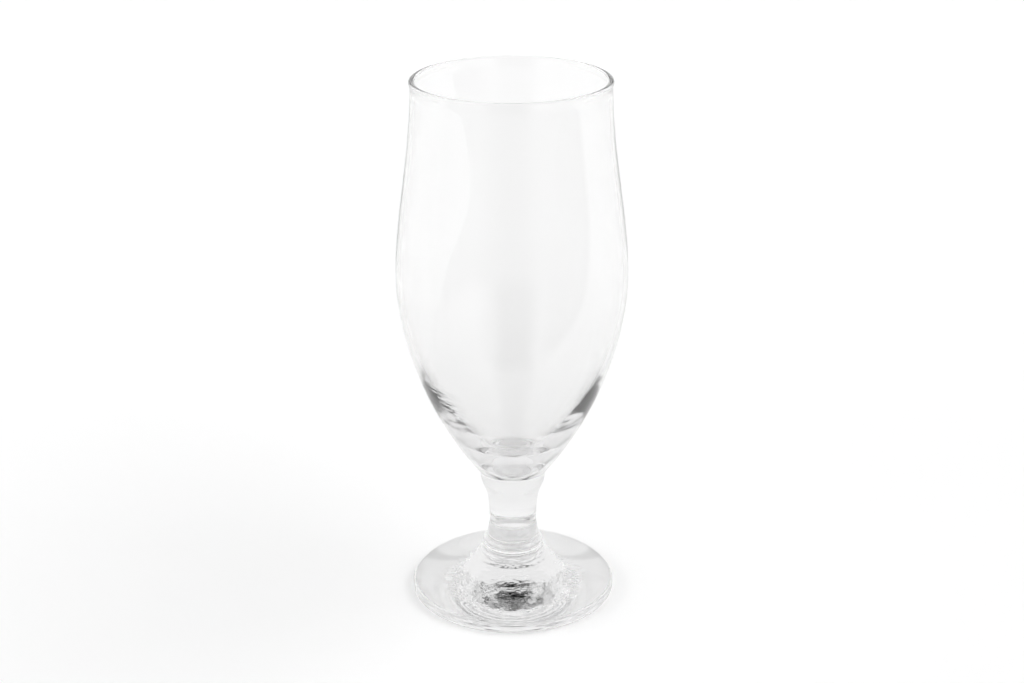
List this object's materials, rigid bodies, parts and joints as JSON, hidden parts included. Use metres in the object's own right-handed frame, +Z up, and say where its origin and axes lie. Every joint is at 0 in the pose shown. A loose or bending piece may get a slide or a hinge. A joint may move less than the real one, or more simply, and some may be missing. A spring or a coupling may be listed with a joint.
{
  "type": "stemmed beer glass",
  "caption": "Clear stemmed beer glass: tall bowl with a full belly and slightly narrowed mouth, on a short drawn stem and a round solid foot.",
  "frame": {"origin": "on the table plane, at the centre of the foot", "axes": "+Z up along the glass's axis of turning, from the foot to the rim; +X and +Y are alike, because the glass is round"},
  "size_m": [0.076, 0.076, 0.18],
  "materials": {
    "bowl": "clear, fire-polished soda-lime glass",
    "stem": "clear, smooth soda-lime glass",
    "foot": "clear, pressed soda-lime glass with soft rings"
  },
  "bodies": {
    "root": {"bowl": "bowl", "stem": "stem", "foot": "foot"}
  },
  "joints": []
}
